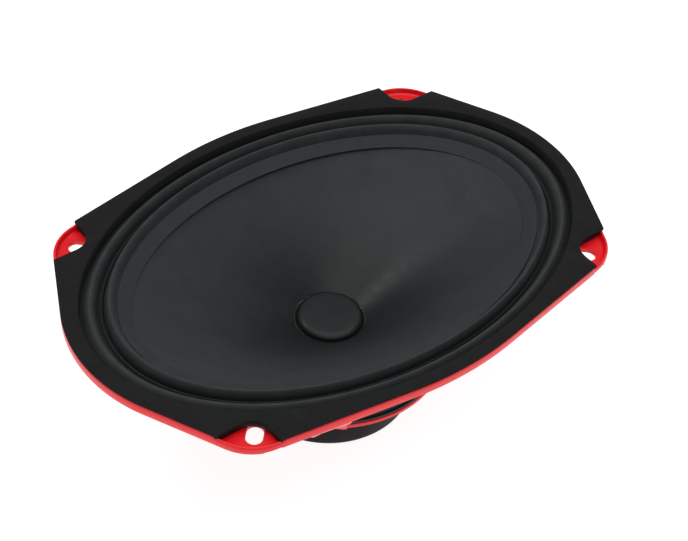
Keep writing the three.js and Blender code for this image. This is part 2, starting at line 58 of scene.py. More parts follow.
SIGNS = ((1, 1), (-1, 1), (-1, -1), (1, -1))
POLES = (("positive", -1), ("negative", 1))


def limits(node):
    """Lowest and highest corner of a CAD node in millimetres."""
    low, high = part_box(node)
    return np.array(low) / MM, np.array(high) / MM


def round_limits(node):
    """Bottom, top and radius of a CAD node that is round about Z."""
    (_, _, bottom), (radius, _, top) = limits(node)
    return bottom, top, radius


# ---- Sizes taken from the frame ----
BASKET_LOW, BASKET_HIGH = limits("basket_frame")
GASKET_LOW, GASKET_HIGH = limits("front_gasket")
CAP_LOW, _, CAP_RADIUS = round_limits("dust_cap")
_, SPIDER_SEAT, _ = round_limits("spider_ring")
MAGNET_LOW, _, _ = round_limits("ferrite_magnet")
_, _, FORMER_RADIUS = round_limits("voice_coil_former")
BOARD_LOW, BOARD_HIGH = limits("terminal_board")

DEPTH = GASKET_HIGH[2]
HALF_LENGTH, HALF_WIDTH = GASKET_HIGH[:2]
RIM_PROUD = BASKET_HIGH[0] - HALF_LENGTH
FLOOR_BACK = BASKET_LOW[2]

# ---- Flange outline: end arcs, side arcs, and ears joined on by straight tangents ----
END_RADIUS = 63.3
SIDE_RADIUS = 149
END_TANGENT = math.radians(26.3)
SIDE_TANGENT = math.radians(80.6)
EAR_RADIUS = 20

# ---- Heights and steps of the tray flange ----
LIP_TOP = DEPTH - 1.6
TRAY_FLOOR = DEPTH - 4.1
RIM_LOW = DEPTH - 5.0
FLANGE_BACK = DEPTH - 6.3
LANDING = DEPTH - 5.3
LIP_WALL = 1.2
UNDERCUT = 1.2
LANDING_EDGE = (111.4, 75.6)
FLANGE_OPENING = (104.5, 69)
SLOT_X, SLOT_Y = 82.45, 58.45
SLOT_LENGTH, SLOT_WIDTH = 9.4, 6.4
NICK_X, NICK_LENGTH = 69, 7

# ---- Gasket ----
GASKET_OPENING = (109.3, 73.7)
NOTCH_X, NOTCH_Y = 78.4, 54.4
NOTCH_RADIUS = 8
LAP = 0.3
LIP_RISE = 0.9

# ---- Bowl, floor and lug ----
FLOOR_RADIUS = 50
FLOOR_THICKNESS = 2.9
FLOOR_TOP = FLOOR_BACK + FLOOR_THICKNESS
FLOOR_BORE = 20
BOWL_TOP = (108, 73)
ARM_ANGLES = [0, 52, 128, 180, 232, 308]
ARM_HALF_WIDTH = 7.5
ARM_THICKNESS = 2.3
MEAN_REACH = 72
LUG_HALF_WIDTH = 17
LUG_FRONT = 52
LUG_THICKNESS = 3
LUG_TOP = 44
WINDOW_LOW, WINDOW_HIGH, WINDOW_HALF_WIDTH = 30.5, 40, 10
RIVET_X = 13.4
RIVET_RADIUS = 1.5
SCREW_CIRCLE = 28

# ---- Cone and what is glued to it ----
NECK_RADIUS = 13.25
CONE_RIM = (97.5, 65)
CONE_NECK_Z = 36.9
CONE_RIM_Z = 76.3
CONE_BULGE = 1.2
CONE_WALL = 1.1
ROLL_START = (108.6, 72.9)
ROLL_END = (94.2, 62.1)
SURROUND_INNER = (89, 56.5)
CLOTH = 0.7
LIP = 0.55
LIP_END = 0.15
GLUE_GAP = 0.06
SEAT_GAP = 0.3

# ---- Spider and motor ----
RING_BORE = 42
SPIDER_ROLLS = (40.6, NECK_RADIUS + 2.5)
PLATE_BORE = 13.9
MAGNET_BORE = 17
YOKE_RADIUS = 33
POLE_RADIUS = 12.35
VENT_RADIUS = 4.5
SCREW_HEAD = 3.75
SCREW_HEAD_DEPTH = 1.8

# ---- Camera that matches the wanted view ----
CAMERA_AZIMUTH = math.radians(-42.12)
CAMERA_ELEVATION = math.radians(43.85)
CAMERA_ROLL = math.radians(5.44)
CAMERA_PLACE = (-309.6, -348.5, DEPTH + 433.2)
SENSOR = 36
FOCAL_LENGTH = SENSOR * 1600 / 688
CLIP_END = 20

# ---- Sky: as pale as the floor at the horizon, dim above ----
SKY_LIGHT = 0.25
HORIZON_LIGHT = 1.0
HORIZON_FADE = 0.2
AIM = (0, 0, 0.06)
FLOOR_REACH = 9000

# ---- A wave texture of scale one runs through this many radians in one unit ----
WAVE_RATE = 20
BLACK, WHITE = (0, 0, 0), (1, 1, 1)


# ---- Scene: camera, floor, light ----
def make_camera():
    sa, ca = math.sin(CAMERA_AZIMUTH), math.cos(CAMERA_AZIMUTH)
    se, ce = math.sin(CAMERA_ELEVATION), math.cos(CAMERA_ELEVATION)
    back = Vector((sa * ce, -ca * ce, se))
    right = Vector((ca, sa, 0))
    up = back.cross(right)
    cr, sr = math.cos(CAMERA_ROLL), math.sin(CAMERA_ROLL)
    axes = (cr * right + sr * up, cr * up - sr * right, back)
    turn = Matrix(axes).transposed().to_4x4()
    data = bpy.data.cameras.new("camera")
    data.sensor_width = SENSOR
    data.sensor_fit = "HORIZONTAL"
    data.lens = FOCAL_LENGTH
    data.clip_end = CLIP_END
    camera = bpy.data.objects.new("camera", data)
    camera.matrix_world = Matrix.Translation(Vector(CAMERA_PLACE) * MM) @ turn
    bpy.context.scene.collection.objects.link(camera)
    bpy.context.scene.camera = camera


def area_light(name, place, aim, size, watts):
    data = bpy.data.lights.new(name, "AREA")
    data.shape = "RECTANGLE"
    data.size, data.size_y = size
    data.energy = watts
    light = bpy.data.objects.new(name, data)
    light.location = place
    facing = Vector(aim) - Vector(place)
    light.rotation_euler = facing.to_track_quat("-Z", "Y").to_euler()
    bpy.context.scene.collection.objects.link(light)


def make_studio():
    world = bpy.data.worlds.new("studio")
    bpy.context.scene.world = world
    world.use_nodes = True
    tree = world.node_tree
    background = tree.nodes["Background"]
    background.inputs["Color"].default_value = (1, 1, 1, 1)
    split = tree.nodes.new("ShaderNodeSeparateXYZ")
    tree.links.new(tree.nodes.new("ShaderNodeTexCoord").outputs["Generated"], split.inputs[0])
    fade = tree.nodes.new("ShaderNodeMapRange")
    fade.interpolation_type = "SMOOTHSTEP"
    fade.inputs["From Max"].default_value = HORIZON_FADE
    fade.inputs["To Min"].default_value = HORIZON_LIGHT
    fade.inputs["To Max"].default_value = SKY_LIGHT
    tree.links.new(split.outputs["Z"], fade.inputs["Value"])
    tree.links.new(fade.outputs["Result"], background.inputs["Strength"])
    area_light("overhead", (0.04, -0.15, 1.0), (0.04, -0.15, 0), (1.25, 1.0), 7.3)
    area_light("back_streak", (-0.26, 0.66, 0.95), AIM, (0.42, 0.17), 2.3)
    area_light("back_low", (0.7, 0.85, 0.26), AIM, (0.7, 0.2), 0.5)
    area_light("side_left", (-1.1, 0.1, 0.42), AIM, (1.2, 0.5), 0.9)
    area_light("side_right", (1.1, -0.1, 0.42), AIM, (1.2, 0.5), 0.9)
    bpy.context.scene.view_settings.view_transform = "Standard"


# ---- Materials ----
class Finish:
    """A Principled material whose colour, roughness and bump come from procedural nodes."""

    def __init__(self, name, metallic=0.0, **sockets):
        self.material = bpy.data.materials.new(name)
        self.material.use_nodes = True
        self.tree = self.material.node_tree
        self.shader = self.tree.nodes["Principled BSDF"]
        self.shader.inputs["Metallic"].default_value = metallic
        for socket, value in sockets.items():
            self.shader.inputs[socket.replace("_", " ")].default_value = value
        self.place = self.node("ShaderNodeTexCoord").outputs["Object"]
        self.normal = None

    def node(self, kind, **values):
        made = self.tree.nodes.new(kind)
        for key, value in values.items():
            setattr(made, key, value)
        return made

    def link(self, out, into):
        self.tree.links.new(out, into)

    def stretched(self, scale):
        mapping = self.node("ShaderNodeMapping")
        mapping.inputs["Scale"].default_value = scale
        self.link(self.place, mapping.inputs["Vector"])
        return mapping.outputs["Vector"]

    def noise(self, size, detail=3.0, rough=0.55, vector=None):
        """Noise with features of about this size in millimetres."""
        made = self.node("ShaderNodeTexNoise")
        made.inputs["Scale"].default_value = 1 / (size * MM)
        made.inputs["Detail"].default_value = detail
        made.inputs["Roughness"].default_value = rough
        self.link(vector or self.place, made.inputs["Vector"])
        return made.outputs["Fac"]

    def cells(self, size, vector=None):
        made = self.node("ShaderNodeTexVoronoi")
        made.inputs["Scale"].default_value = 1 / (size * MM)
        self.link(vector or self.place, made.inputs["Vector"])
        return made.outputs["Distance"]

    def nearness(self, near, far, oval=1.4):
        """One at this distance from the axis and nothing at the far one; Y counts as in the oval."""
        flat = self.stretched((1, oval, 0))
        reach = self.node("ShaderNodeVectorMath", operation="LENGTH")
        self.link(flat, reach.inputs[0])
        return self.fade(reach.outputs["Value"], far, near)

    def depth(self, top, bottom):
        """Nothing at this height and one at the lower one."""
        split = self.node("ShaderNodeSeparateXYZ")
        self.link(self.place, split.inputs[0])
        return self.fade(split.outputs["Z"], top, bottom)

    def threads(self, pitch, direction, wobble=0.6):
        made = self.node("ShaderNodeTexWave", wave_type="BANDS", bands_direction=direction)
        made.inputs["Scale"].default_value = 1 / (pitch * MM) / WAVE_RATE * TURN
        made.inputs["Distortion"].default_value = wobble
        made.inputs["Detail"].default_value = 1.0
        made.inputs["Detail Scale"].default_value = 2.0
        self.link(self.place, made.inputs["Vector"])
        return made.outputs["Fac"]

    def fade(self, value, start, end):
        """Nothing at the start and one at the end, in millimetres, with a soft run between."""
        made = self.node("ShaderNodeMapRange", interpolation_type="SMOOTHSTEP")
        made.inputs["From Min"].default_value = start * MM
        made.inputs["From Max"].default_value = end * MM
        self.link(value, made.inputs["Value"])
        return made.outputs["Result"]

    def combine(self, a, b, how="MULTIPLY"):
        made = self.node("ShaderNodeMath", operation=how)
        self.link(a, made.inputs[0])
        self.link(b, made.inputs[1])
        return made.outputs[0]

    def ramp(self, fac, dark, light, start=0.3, end=0.7):
        made = self.node("ShaderNodeValToRGB")
        for element, at, colour in zip(made.color_ramp.elements, (start, end), (dark, light)):
            element.position = at
            element.color = (*colour, 1)
        self.link(fac, made.inputs["Fac"])
        return made.outputs["Color"]

    def paint(self, colour):
        self.link(colour, self.shader.inputs["Base Color"])

    def colour(self, *shades):
        self.paint(self.ramp(*shades))

    def tinted(self, base, over, fac, strength):
        """Lays the second colour over the first where fac is high."""
        scaled = self.node("ShaderNodeMath", operation="MULTIPLY")
        scaled.inputs[1].default_value = strength
        self.link(fac, scaled.inputs[0])
        mix = self.node("ShaderNodeMix", data_type="RGBA")
        self.link(scaled.outputs[0], mix.inputs["Factor"])
        self.link(base, mix.inputs["A"])
        mix.inputs["B"].default_value = (*over, 1)
        return mix.outputs["Result"]

    def roughness(self, fac, low, high, most=1.0):
        made = self.node("ShaderNodeMapRange")
        made.inputs["From Max"].default_value = most
        made.inputs["To Min"].default_value = low
        made.inputs["To Max"].default_value = high
        self.link(fac, made.inputs["Value"])
        self.link(made.outputs["Result"], self.shader.inputs["Roughness"])

    def bump(self, height, depth, strength=1.0):
        """Relief of this depth in millimetres, on top of any bump already there."""
        made = self.node("ShaderNodeBump")
        made.inputs["Distance"].default_value = depth * MM
        made.inputs["Strength"].default_value = strength
        self.link(height, made.inputs["Height"])
        if self.normal is not None:
            self.link(self.normal, made.inputs["Normal"])
        self.normal = made.outputs["Normal"]
        self.link(self.normal, self.shader.inputs["Normal"])


def plain(name, cloud, dark, light, rough, grain, metallic=0.0, **sockets):
    """Two close shades under a fine grain; cloud, rough and grain open with a noise's size and detail."""
    f = Finish(name, metallic, **sockets)
    f.colour(f.noise(*cloud), dark, light)
    f.roughness(f.noise(*rough[:2]), *rough[2:])
    f.bump(f.noise(*grain[:2]), *grain[2:])
    return f


def powder_red():
    shades = (0.78, 0.004, 0.010), (0.86, 0.007, 0.014)
    gloss = {"Specular_IOR_Level": 0.38, "Coat_Weight": 0.06, "Coat_Roughness": 0.22}
    f = plain("powder_red", (18, 2), *shades, (3, 3, 0.30, 0.42), (1.1, 2, 0.05, 0.5), **gloss)
    f.bump(f.noise(0.25, 2), 0.012, 0.5)
    return f.material


def gasket_rubber():
    f = Finish("gasket_rubber", Specular_IOR_Level=0.13)
    cloud = f.noise(9, 4, 0.6)
    base = f.ramp(cloud, (0.0078, 0.0078, 0.0080), (0.0115, 0.0115, 0.0118), 0.3, 0.72)
    specks = f.ramp(f.noise(0.5, 2), BLACK, WHITE, 0.62, 0.75)
    f.paint(f.tinted(base, (0.05, 0.05, 0.052), specks, 0.25))
    f.roughness(f.noise(2.5, 3), 0.62, 0.82)
    f.bump(f.cells(0.55), 0.05, 0.5)
    f.bump(f.noise(0.3, 3), 0.03, 0.6)
    return f.material


def surround_cloth():
    f = Finish("surround_cloth", Specular_IOR_Level=0.25, Sheen_Weight=0.02, Sheen_Roughness=0.45)
    weave = f.combine(f.threads(0.55, "X"), f.threads(0.55, "Y"), "ADD")
    cloth = f.ramp(f.noise(7, 4, 0.6), (0.0225, 0.0268, 0.0273), (0.0330, 0.0378, 0.0384))
    # Painted shade: the cloth is darkened where it dips low in the grooves between the rolls, away from the
    # lip.
    painted_groove_shade = f.combine(f.depth(LANDING + 3.3, LANDING + 0.1), f.nearness(96.5, 94.3, 1.5))
    lip = f.tinted(cloth, (0.0175, 0.0225, 0.0230), f.nearness(93.4, 94.6, 1.5), 0.7)
    f.paint(f.tinted(lip, (0.0035, 0.0045, 0.0050), painted_groove_shade, 0.82))
    f.roughness(f.noise(1.5, 3), 0.58, 0.78)
    f.bump(weave, 0.05, 0.6)
    f.bump(f.noise(0.6, 3), 0.05, 0.5)
    return f.material


def cone_paper():
    f = Finish("cone_paper", Specular_IOR_Level=0.22, Sheen_Weight=0.02, Sheen_Roughness=0.5)
    cloud = f.noise(14, 5, 0.62)
    outer = f.ramp(cloud, (0.0190, 0.0240, 0.0245), (0.0250, 0.0310, 0.0315), 0.28, 0.72)
    # Painted shade: the paper darkens towards the neck, where the deep cone lies in shade.
    base = f.tinted(outer, (0.0065, 0.0090, 0.0095), f.nearness(14, 66), 0.85)
    strands = [f.noise(0.8, 2, 0.6, f.stretched(scale)) for scale in ((1, 0.16, 1), (0.16, 1, 1))]
    fibres = f.combine(*strands, "MAXIMUM")
    light = f.ramp(fibres, BLACK, WHITE, 0.6, 0.78)
    f.paint(f.tinted(base, (0.085, 0.095, 0.092), light, 0.10))
    f.roughness(f.combine(f.noise(4, 4), f.nearness(84, 24), "ADD"), 0.29, 0.68, 2.0)
    f.bump(fibres, 0.05, 0.5)
    f.bump(f.noise(2.4, 3), 0.06, 0.45)
    f.bump(f.noise(0.35, 2), 0.02, 0.5)
    return f.material


def cap_plastic():
    f = Finish("cap_plastic", Specular_IOR_Level=0.25, Coat_Weight=0.06, Coat_Roughness=0.14)
    crown = f.ramp(f.noise(6, 3), (0.0100, 0.0135, 0.0140), (0.0130, 0.0165, 0.0170))
    # Painted shade: the rounded shoulder round the cap's edge is painted nearly black.
    painted_skirt_shade = f.nearness(CAP_RADIUS - 1.5, CAP_RADIUS - 2.4, 1.0)
    f.paint(f.tinted(crown, (0.0018, 0.0024, 0.0026), painted_skirt_shade, 1.0))
    f.roughness(f.noise(1.6, 3), 0.44, 0.56)
    f.bump(f.noise(0.3, 2), 0.008, 0.5)
    return f.material


def black_glue():
    shades = (0.006, 0.008, 0.008), (0.012, 0.014, 0.014)
    gloss = {"Specular_IOR_Level": 0.6, "Coat_Weight": 0.7, "Coat_Roughness": 0.05}
    return plain("black_glue", (3, 2), *shades, (1.2, 2, 0.08, 0.24), (1.0, 2, 0.08, 0.6), **gloss).material


def aluminium_foil():
    f = Finish("aluminium_foil", 1.0)
    f.colour(f.noise(2, 3), (0.60, 0.61, 0.62), (0.72, 0.73, 0.74))
    lines = f.noise(0.3, 2, 0.6, f.stretched((0.1, 0.1, 1)))
    f.roughness(lines, 0.22, 0.4)
    f.bump(lines, 0.01, 0.5)
    return f.material


def copper_wire():
    shades = (0.52, 0.20, 0.08), (0.70, 0.31, 0.14)
    gloss = {"Coat_Weight": 0.3, "Coat_Roughness": 0.1}
    f = plain("copper_wire", (2, 3), *shades, (0.8, 2, 0.22, 0.38), (0.5, 2, 0.01, 0.5), 1.0, **gloss)
    return f.material


def spider_cloth():
    f = Finish("spider_cloth", Specular_IOR_Level=0.3, Sheen_Weight=0.3, Sheen_Roughness=0.5)
    weave = f.combine(f.threads(0.7, "X", 0.3), f.threads(0.7, "Y", 0.3), "MULTIPLY")
    f.colour(weave, (0.20, 0.12, 0.035), (0.52, 0.35, 0.12), 0.1)
    f.roughness(f.noise(1.5, 2), 0.65, 0.85)
    f.bump(weave, 0.12, 0.8)
    return f.material


def black_plastic():
    f = Finish("black_plastic", Specular_IOR_Level=0.45)
    f.colour(f.noise(5, 3), (0.014, 0.014, 0.015), (0.022, 0.022, 0.023))
    f.roughness(f.noise(0.8, 3), 0.45, 0.6)
    f.bump(f.cells(0.4), 0.02, 0.4)
    return f.material


def zinc_steel():
    f = Finish("zinc_steel", 1.0)
    f.colour(f.cells(2.2), (0.48, 0.49, 0.50), (0.62, 0.63, 0.64), 0.05, 0.6)
    f.roughness(f.noise(1.5, 4), 0.25, 0.45)
    f.bump(f.noise(0.5, 3), 0.012, 0.5)
    return f.material


def ferrite():
    f = Finish("ferrite", Specular_IOR_Level=0.4)
    f.colour(f.noise(0.6, 4, 0.7), (0.030, 0.030, 0.032), (0.065, 0.065, 0.068), 0.35)
    f.roughness(f.noise(0.9, 3), 0.6, 0.8)
    f.bump(f.noise(0.35, 3), 0.03, 0.6)
    return f.material


def boot_rubber():
    shades = (0.0040, 0.0040, 0.0044), (0.0062, 0.0062, 0.0068)
    gloss = {"Specular_IOR_Level": 0.12}
    return plain("boot_rubber", (8, 4), *shades, (2, 3, 0.42, 0.58), (0.45, 3, 0.02, 0.5), **gloss).material


def black_steel():
    shades = (0.035, 0.035, 0.038), (0.06, 0.06, 0.064)
    return plain("black_steel", (1, 3), *shades, (0.8, 3, 0.3, 0.45), (0.3, 2, 0.01, 0.5), 0.9).material


def board_resin():
    f = Finish("board_resin", Specular_IOR_Level=0.45)
    streaks = f.noise(1.2, 4, 0.6, f.stretched((0.2, 1, 1)))
    f.colour(streaks, (0.13, 0.065, 0.026), (0.22, 0.12, 0.05))
    f.roughness(f.noise(1, 3), 0.42, 0.6)
    f.bump(streaks, 0.02, 0.5)
    return f.material


def brass():
    f = Finish("brass", 1.0)
    f.colour(f.noise(2.5, 3), (0.60, 0.42, 0.15), (0.74, 0.55, 0.24))
    lines = f.noise(0.3, 3, 0.6, f.stretched((1, 0.12, 1)))
    f.roughness(lines, 0.2, 0.38)
    f.bump(lines, 0.008, 0.5)
    return f.material


def bright_nickel():
    shades = (0.58, 0.57, 0.55), (0.68, 0.67, 0.65)
    return plain("bright_nickel", (1.5, 3), *shades, (0.6, 3, 0.2, 0.34), (0.5, 2, 0.01, 0.4), 1.0).material


def solder():
    shades = (0.52, 0.53, 0.54), (0.70, 0.71, 0.72)
    return plain("solder", (0.9, 3), *shades, (0.7, 3, 0.18, 0.45), (0.9, 2, 0.05, 0.5), 1.0).material


def tinsel():
    f = Finish("tinsel", 0.8)
    braid = f.combine(f.threads(0.5, "DIAGONAL", 0.4), f.threads(0.5, "Z", 0.4), "ADD")
    f.colour(braid, (0.34, 0.17, 0.08), (0.72, 0.44, 0.25), 0.3, 0.9)
    f.roughness(f.noise(0.6, 2), 0.35, 0.55)
    f.bump(braid, 0.12, 0.8)
    return f.material


def pale_floor():
    f = Finish("pale_floor", Specular_IOR_Level=0.1)
    f.colour(f.noise(120, 3), (0.33, 0.33, 0.33), (0.37, 0.37, 0.37))
    f.roughness(f.noise(40, 2), 0.85, 0.95)
    f.shader.inputs["Emission Color"].default_value = (1, 1, 1, 1)
    f.shader.inputs["Emission Strength"].default_value = 0.9
    return f.material


# ---- Mesh helpers ----
def bare_piece(name, shape):
    """An object from points in millimetres and faces, with no look or place in the model yet."""
    points, faces = shape
    mesh = bpy.data.meshes.new(name)
    mesh.from_pydata([tuple(float(v) * MM for v in p) for p in points], [], faces)
    mesh.validate()
    piece = bpy.data.objects.new(name, mesh)
    bpy.context.scene.collection.objects.link(piece)
    outward(piece)
    return piece


def finish_piece(piece, name, material, body=None, slot=None, node=None, smooth=40):
    """Names and dresses a piece; it may ride on a body, and stand for a CAD node."""
    piece.name = name
    mesh = piece.data
    mesh.materials.clear()
    mesh.materials.append(material)
    mesh.shade_smooth()
    mesh.set_sharp_from_angle(angle=math.radians(smooth))
    if body:
        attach(piece, body)
    if node:
        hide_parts(node)
    return piece


def mesh_piece(name, shape, *finish):
    return finish_piece(bare_piece(name, shape), name, *finish)


def outward(piece):
    bm = bmesh.new()
    bm.from_mesh(piece.data)
    bmesh.ops.recalc_face_normals(bm, faces=bm.faces)
    bm.to_mesh(piece.data)
    bm.free()


def loft(rings, closed=True):
    """Quads between rings of equal length; a closed loft joins the last ring to the first."""
    count = len(rings[0])
    points = [tuple(p) for ring in rings for p in ring]
    faces = []
    last = len(rings) if closed else len(rings) - 1
    for i in range(last):
        a, b = i * count, (i + 1) % len(rings) * count
        for j in range(count):
            k = (j + 1) % count
            faces.append((a + j, a + k, b + k, b + j))
    return points, faces


def oval(a, b, height, facets):
    t = TURN * np.arange(facets) / facets
    return np.c_[a * np.cos(t), b * np.sin(t), np.full(facets, height)]


def capped(rings):
    """A loft closed by a flat face at each end."""
    points, faces = loft(rings, closed=False)
    count = len(rings[0])
    return points, [*faces, tuple(range(count)), tuple(range(len(points) - 1, len(points) - 1 - count, -1))]


def turned(profile, facets=96, centre=(0, 0)):
    """A body of revolution about Z; a point on the axis closes it with a fan."""
    x, y = centre
    points, rows, faces = [], [], []
    for radius, height in profile:
        if radius < 1e-6:
            rows.append([len(points)])
            points.append((x, y, height))
            continue
        rows.append(list(range(len(points), len(points) + facets)))
        for i in range(facets):
            angle = TURN * i / facets
            points.append((x + radius * math.cos(angle), y + radius * math.sin(angle), height))
    for a, b in zip(rows, rows[1:]):
        for i in range(facets):
            j = (i + 1) % facets
            if len(a) == 1 and len(b) == 1:
                break
            if len(a) == 1:
                faces.append((a[0], b[j], b[i]))
            elif len(b) == 1:
                faces.append((a[i], a[j], b[0]))
            else:
                faces.append((a[i], a[j], b[j], b[i]))
    return points, faces


def turned_ring(profile, facets=96):
    """The same for a section that closes on itself, such as a washer."""
    return loft([oval(radius, radius, height, facets) for radius, height in profile])


def rounded(corners, radius=0.4, steps=3):
    """A section's corners turned into small arcs, so that every edge catches the light."""
    out = []
    count = len(corners)
    for i, here in enumerate(corners):
        before, after = np.array(corners[i - 1]), np.array(corners[(i + 1) % count])
        here = np.array(here, float)
        to_before, to_after = before - here, after - here
        reach = min(radius, 0.45 * np.linalg.norm(to_before), 0.45 * np.linalg.norm(to_after))
        start = here + to_before / np.linalg.norm(to_before) * reach
        end = here + to_after / np.linalg.norm(to_after) * reach
        for k in range(steps + 1):
            t = k / steps
            out.append(tuple((1 - t) ** 2 * start + 2 * t * (1 - t) * here + t * t * end))
    return out


def washer(inner, outer, low, high, edge=0.4):
    return rounded([(inner, low), (outer, low), (outer, high), (inner, high)], edge)


def applied(piece):
    """Bakes the piece's one modifier into its mesh."""
    depsgraph = bpy.context.evaluated_depsgraph_get()
    result = bpy.data.meshes.new_from_object(piece.evaluated_get(depsgraph))
    piece.modifiers.clear()
    piece.data = result


def boolean(target, tool, operation):
    """Joins or cuts with a second piece, which is used up."""
    modifier = target.modifiers.new(operation, "BOOLEAN")
    modifier.operation = operation
    modifier.solver = "EXACT"
    modifier.object = tool
    applied(target)
    bpy.data.objects.remove(tool)


def cut(target, shape):
    boolean(target, bare_piece("cutter", shape), "DIFFERENCE")


def apply_bevel(piece, width, angle=60, segments=2):
    modifier = piece.modifiers.new("edges", "BEVEL")
    modifier.width = width * MM
    modifier.segments = segments
    modifier.limit_method = "ANGLE"
    modifier.angle_limit = math.radians(angle)
    applied(piece)


def box_points(x, y, z):
    """Points and faces of a block from its low and high values along each axis."""
    points = [(x[i], y[j], z[k]) for i in (0, 1) for j in (0, 1) for k in (0, 1)]
    faces = [(0, 1, 3, 2), (4, 6, 7, 5), (0, 4, 5, 1), (2, 3, 7, 6), (0, 2, 6, 4), (1, 5, 7, 3)]
    return points, faces


def turned_about_z(points, angle, centre=(0, 0)):
    c, s = math.cos(angle), math.sin(angle)
    return [(centre[0] + c * x - s * y, centre[1] + s * x + c * y, z) for x, y, z in points]


# ---- Outlines, sampled by the polar angle of each point ----
def quarter_outline(offset):
    """Dense points of one quarter of the flange outline, pushed out by offset."""
    end_x = HALF_LENGTH - END_RADIUS
    side_y = HALF_WIDTH - SIDE_RADIUS
    ax, ay = math.cos(END_TANGENT), math.sin(END_TANGENT)
    bx, by = math.cos(SIDE_TANGENT), math.sin(SIDE_TANGENT)
    end_reach = ax * end_x + END_RADIUS - EAR_RADIUS
    side_reach = by * side_y + SIDE_RADIUS - EAR_RADIUS
    spread = ax * by - ay * bx
    ear_x = (end_reach * by - side_reach * ay) / spread
    ear_y = (side_reach * ax - end_reach * bx) / spread
    arcs = [
        (end_x, 0, END_RADIUS, 0, END_TANGENT),
        (ear_x, ear_y, EAR_RADIUS, END_TANGENT, SIDE_TANGENT),
        (0, side_y, SIDE_RADIUS, SIDE_TANGENT, QUARTER),
    ]
    rows = []
    for x, y, radius, start, end in arcs:
        angles = np.linspace(start, end, 160)
        arc = np.c_[x + (radius + offset) * np.cos(angles), y + (radius + offset) * np.sin(angles)]
        if rows:
            rows.append(rows[-1][-1] + np.linspace(0, 1, 80)[1:-1, None] * (arc[0] - rows[-1][-1]))
        rows.append(arc)
    return np.vstack(rows)


def folded(angles):
    """Any polar angle brought into the first quarter."""
    return np.arctan2(np.abs(np.sin(angles)), np.abs(np.cos(angles)))


def outline_radius(angles, offset):
    points = quarter_outline(offset)
    polar = np.arctan2(points[:, 1], points[:, 0])
    order = np.argsort(polar)
    return np.interp(folded(angles), polar[order], np.hypot(points[:, 0], points[:, 1])[order])


def ellipse_radius(angles, a, b):
    return a * b / np.hypot(b * np.cos(angles), a * np.sin(angles))


def notch_radius(angles, grow=0.0):
    """How far out a ray from the middle runs before it enters an ear's notch."""
    a = folded(angles)
    c, s = np.cos(a), np.sin(a)
    left, low = NOTCH_X - grow, NOTCH_Y - grow
    radius = NOTCH_RADIUS
    side = left / np.maximum(c, 1e-9)
    base = low / np.maximum(s, 1e-9)
    out = np.full_like(a, 1e6)
    by_side = side * s >= low + radius
    by_base = base * c >= left + radius
    out[by_side] = side[by_side]
    out[by_base] = base[by_base]
    corner = ~(by_side | by_base)
    cx, cy = left + radius, low + radius
    along = c * cx + s * cy
    across = along**2 - (cx**2 + cy**2 - radius**2)
    out[corner] = (along - np.sqrt(np.maximum(across, 0)))[corner]
    return out


def polar_ring(angles, radii, height):
    return np.c_[radii * np.cos(angles), radii * np.sin(angles), np.zeros(len(angles)) + height]


# ---- Basket ----
def lip_rise(angles):
    """The lip stands higher where the gasket laps over it than round the ears."""
    clear = notch_radius(angles) - outline_radius(angles, 0)
    return LIP_RISE * np.clip(clear / 2, 0, 1)


def tray_flange():
    """The flange as one section carried round: rim, lip, tray with a filleted corner, landing, back."""
    angles = TURN * np.arange(576) / 576
    inner_wall = RIM_PROUD - LIP_WALL
    rim, top = RIM_PROUD, LIP_TOP
    outline = [
        (rim - UNDERCUT - 0.4, FLANGE_BACK), (rim - UNDERCUT, FLANGE_BACK + 0.4), (rim - UNDERCUT, RIM_LOW),
        (rim - 0.5, RIM_LOW + 0.02), (rim - 0.15, RIM_LOW + 0.12), (rim, RIM_LOW + 0.45),
        (rim, top - 0.75), (rim - 0.08, top - 0.45), (rim - 0.28, top - 0.18), (rim - 0.6, top),
        (inner_wall + 0.4, top), (inner_wall + 0.1, top - 0.12), (inner_wall, top - 0.4),
        (inner_wall - 0.1, TRAY_FLOOR + 1.3),
    ]
    fillet, steps = 1.2, 6
    for step in range(1, steps + 1):
        turn = QUARTER * step / steps
        offset = inner_wall - 0.1 - fillet * (1 - math.cos(turn))
        outline.append((offset, TRAY_FLOOR + fillet * (1 - math.sin(turn))))
    rise = lip_rise(angles)
    rings = []
    for offset, height in outline:
        share = min(1, max(0, (height - RIM_LOW) / (top - RIM_LOW)))
        rings.append(polar_ring(angles, outline_radius(angles, offset), height + rise * share))
    a, b = LANDING_EDGE
    c, d = FLANGE_OPENING
    ovals = [
        (a + 0.3, b + 0.3, TRAY_FLOOR), (a, b, TRAY_FLOOR - 0.25), (a, b, LANDING + 0.2),
        (a - 0.2, b - 0.2, LANDING), (c + 0.3, d + 0.3, LANDING), (c, d, LANDING - 0.3),
        (c, d, FLANGE_BACK + 0.3), (c + 0.3, d + 0.3, FLANGE_BACK),
    ]
    rings += [polar_ring(angles, ellipse_radius(angles, x, y), height) for x, y, height in ovals]
    return bare_piece("basket_casting", loft(rings))


def slot_outline(grow, steps=16):
    radius = SLOT_WIDTH / 2 + grow
    reach = (SLOT_LENGTH - SLOT_WIDTH) / 2
    points = []
    for centre, start in ((reach, -QUARTER), (-reach, QUARTER)):
        for i in range(steps + 1):
            angle = start + math.pi * i / steps
            points.append((centre + radius * math.cos(angle), radius * math.sin(angle)))
    return points


def cut_slot(casting, sx, sy):
    """A slot that is bevelled at both faces of the tray floor."""
    bevel, past = 0.3, 0.6
    flare = bevel + past
    low, high = FLANGE_BACK, TRAY_FLOOR
    levels = [(flare, low - past), (0, low + bevel), (0, high - bevel), (flare, high + past)]
    rings = []
    for grow, height in levels:
        points = [(x, y, height) for x, y in slot_outline(grow)]
        rings.append(turned_about_z(points, sx * sy * math.pi / 4, (sx * SLOT_X, sy * SLOT_Y)))
    cut(casting, capped(rings))


